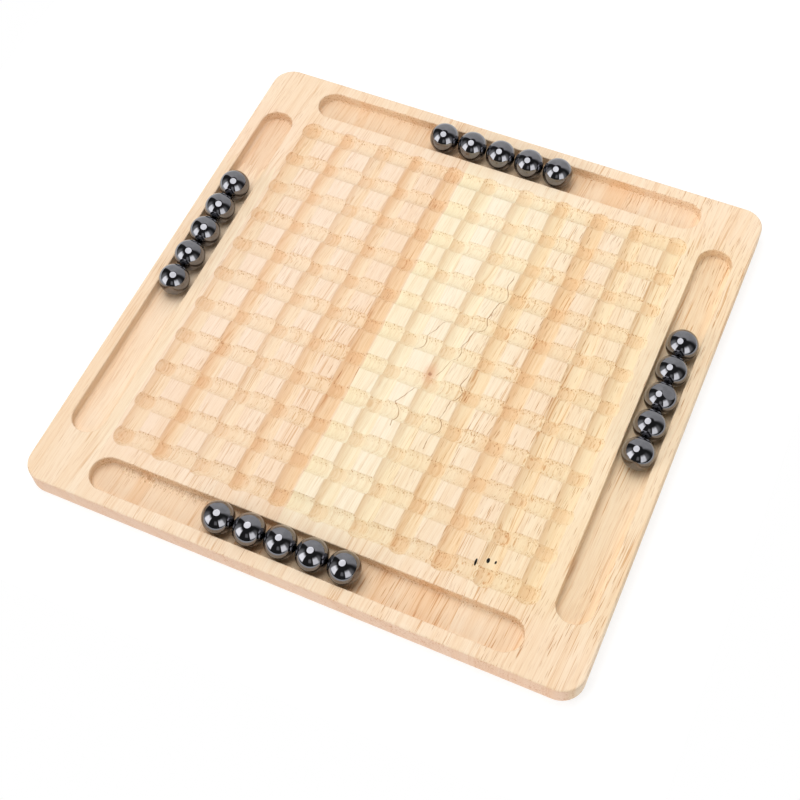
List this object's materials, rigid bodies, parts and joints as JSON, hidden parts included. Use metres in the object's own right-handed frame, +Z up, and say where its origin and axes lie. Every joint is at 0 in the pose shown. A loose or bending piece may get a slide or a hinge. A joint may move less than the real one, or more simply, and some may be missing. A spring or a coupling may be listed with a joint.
{
  "type": "marble game board",
  "caption": "Square wooden game board with a lattice of dimples joined by grooves, a long storage tray on each side, and loose polished balls in the trays.",
  "frame": {"origin": "centre of the board's underside, on the table", "axes": "+Z up, +X to the player's right, +Y away from the player, along the grain of the staves"},
  "size_m": [0.3, 0.3, 0.0236],
  "materials": {
    "pale_pink_rubberwood": "satin",
    "cream_rubberwood": "satin",
    "beige_rubberwood": "satin",
    "straw_rubberwood": "satin",
    "polished_dark_grey": "polished"
  },
  "bodies": {
    "board": {"left_stave_far_block": "pale_pink_rubberwood", "left_stave_near_block": "cream_rubberwood", "centre_left_stave": "pale_pink_rubberwood", "centre_right_stave": "beige_rubberwood", "right_stave": "straw_rubberwood"},
    "far_tray_ball_1": {"far_tray_ball_1": "polished_dark_grey"},
    "far_tray_ball_2": {"far_tray_ball_2": "polished_dark_grey"},
    "far_tray_ball_3": {"far_tray_ball_3": "polished_dark_grey"},
    "far_tray_ball_4": {"far_tray_ball_4": "polished_dark_grey"},
    "far_tray_ball_5": {"far_tray_ball_5": "polished_dark_grey"},
    "near_tray_ball_1": {"near_tray_ball_1": "polished_dark_grey"},
    "near_tray_ball_2": {"near_tray_ball_2": "polished_dark_grey"},
    "near_tray_ball_3": {"near_tray_ball_3": "polished_dark_grey"},
    "near_tray_ball_4": {"near_tray_ball_4": "polished_dark_grey"},
    "near_tray_ball_5": {"near_tray_ball_5": "polished_dark_grey"},
    "left_tray_ball_1": {"left_tray_ball_1": "polished_dark_grey"},
    "left_tray_ball_2": {"left_tray_ball_2": "polished_dark_grey"},
    "left_tray_ball_3": {"left_tray_ball_3": "polished_dark_grey"},
    "left_tray_ball_4": {"left_tray_ball_4": "polished_dark_grey"},
    "left_tray_ball_5": {"left_tray_ball_5": "polished_dark_grey"},
    "right_tray_ball_1": {"right_tray_ball_1": "polished_dark_grey"},
    "right_tray_ball_2": {"right_tray_ball_2": "polished_dark_grey"},
    "right_tray_ball_3": {"right_tray_ball_3": "polished_dark_grey"},
    "right_tray_ball_4": {"right_tray_ball_4": "polished_dark_grey"},
    "right_tray_ball_5": {"right_tray_ball_5": "polished_dark_grey"}
  },
  "joints": [
    {"name": "far_tray_ball_1_roll", "type": "slide", "parent": "board", "child": "far_tray_ball_1", "axis": [1, 0, 0], "range_m": [-0.0713, 0]},
    {"name": "far_tray_ball_2_lift", "type": "slide", "parent": "board", "child": "far_tray_ball_2", "axis": [0, 0, 1], "range_m": [0, 0.04]},
    {"name": "far_tray_ball_3_lift", "type": "slide", "parent": "board", "child": "far_tray_ball_3", "axis": [0, 0, 1], "range_m": [0, 0.04]},
    {"name": "far_tray_ball_4_lift", "type": "slide", "parent": "board", "child": "far_tray_ball_4", "axis": [0, 0, 1], "range_m": [0, 0.04]},
    {"name": "far_tray_ball_5_roll", "type": "slide", "parent": "board", "child": "far_tray_ball_5", "axis": [1, 0, 0], "range_m": [0, 0.0747]},
    {"name": "near_tray_ball_1_roll", "type": "slide", "parent": "board", "child": "near_tray_ball_1", "axis": [1, 0, 0], "range_m": [-0.0642, 0]},
    {"name": "near_tray_ball_2_lift", "type": "slide", "parent": "board", "child": "near_tray_ball_2", "axis": [0, 0, 1], "range_m": [0, 0.04]},
    {"name": "near_tray_ball_3_lift", "type": "slide", "parent": "board", "child": "near_tray_ball_3", "axis": [0, 0, 1], "range_m": [0, 0.04]},
    {"name": "near_tray_ball_4_lift", "type": "slide", "parent": "board", "child": "near_tray_ball_4", "axis": [0, 0, 1], "range_m": [0, 0.04]},
    {"name": "near_tray_ball_5_roll", "type": "slide", "parent": "board", "child": "near_tray_ball_5", "axis": [1, 0, 0], "range_m": [0, 0.0826]},
    {"name": "left_tray_ball_1_roll", "type": "slide", "parent": "board", "child": "left_tray_ball_1", "axis": [0, 1, 0], "range_m": [-0.0005, 0.052]},
    {"name": "left_tray_ball_2_lift", "type": "slide", "parent": "board", "child": "left_tray_ball_2", "axis": [0, 0, 1], "range_m": [0, 0.04]},
    {"name": "left_tray_ball_3_lift", "type": "slide", "parent": "board", "child": "left_tray_ball_3", "axis": [0, 0, 1], "range_m": [0, 0.04]},
    {"name": "left_tray_ball_4_lift", "type": "slide", "parent": "board", "child": "left_tray_ball_4", "axis": [0, 0, 1], "range_m": [0, 0.04]},
    {"name": "left_tray_ball_5_roll", "type": "slide", "parent": "board", "child": "left_tray_ball_5", "axis": [0, 1, 0], "range_m": [-0.0922, 0.0005]},
    {"name": "right_tray_ball_1_roll", "type": "slide", "parent": "board", "child": "right_tray_ball_1", "axis": [0, 1, 0], "range_m": [0, 0.0586]},
    {"name": "right_tray_ball_2_lift", "type": "slide", "parent": "board", "child": "right_tray_ball_2", "axis": [0, 0, 1], "range_m": [0, 0.04]},
    {"name": "right_tray_ball_3_lift", "type": "slide", "parent": "board", "child": "right_tray_ball_3", "axis": [0, 0, 1], "range_m": [0, 0.04]},
    {"name": "right_tray_ball_4_lift", "type": "slide", "parent": "board", "child": "right_tray_ball_4", "axis": [0, 0, 1], "range_m": [0, 0.04]},
    {"name": "right_tray_ball_5_roll", "type": "slide", "parent": "board", "child": "right_tray_ball_5", "axis": [0, 1, 0], "range_m": [-0.0874, 0]}
  ]
}
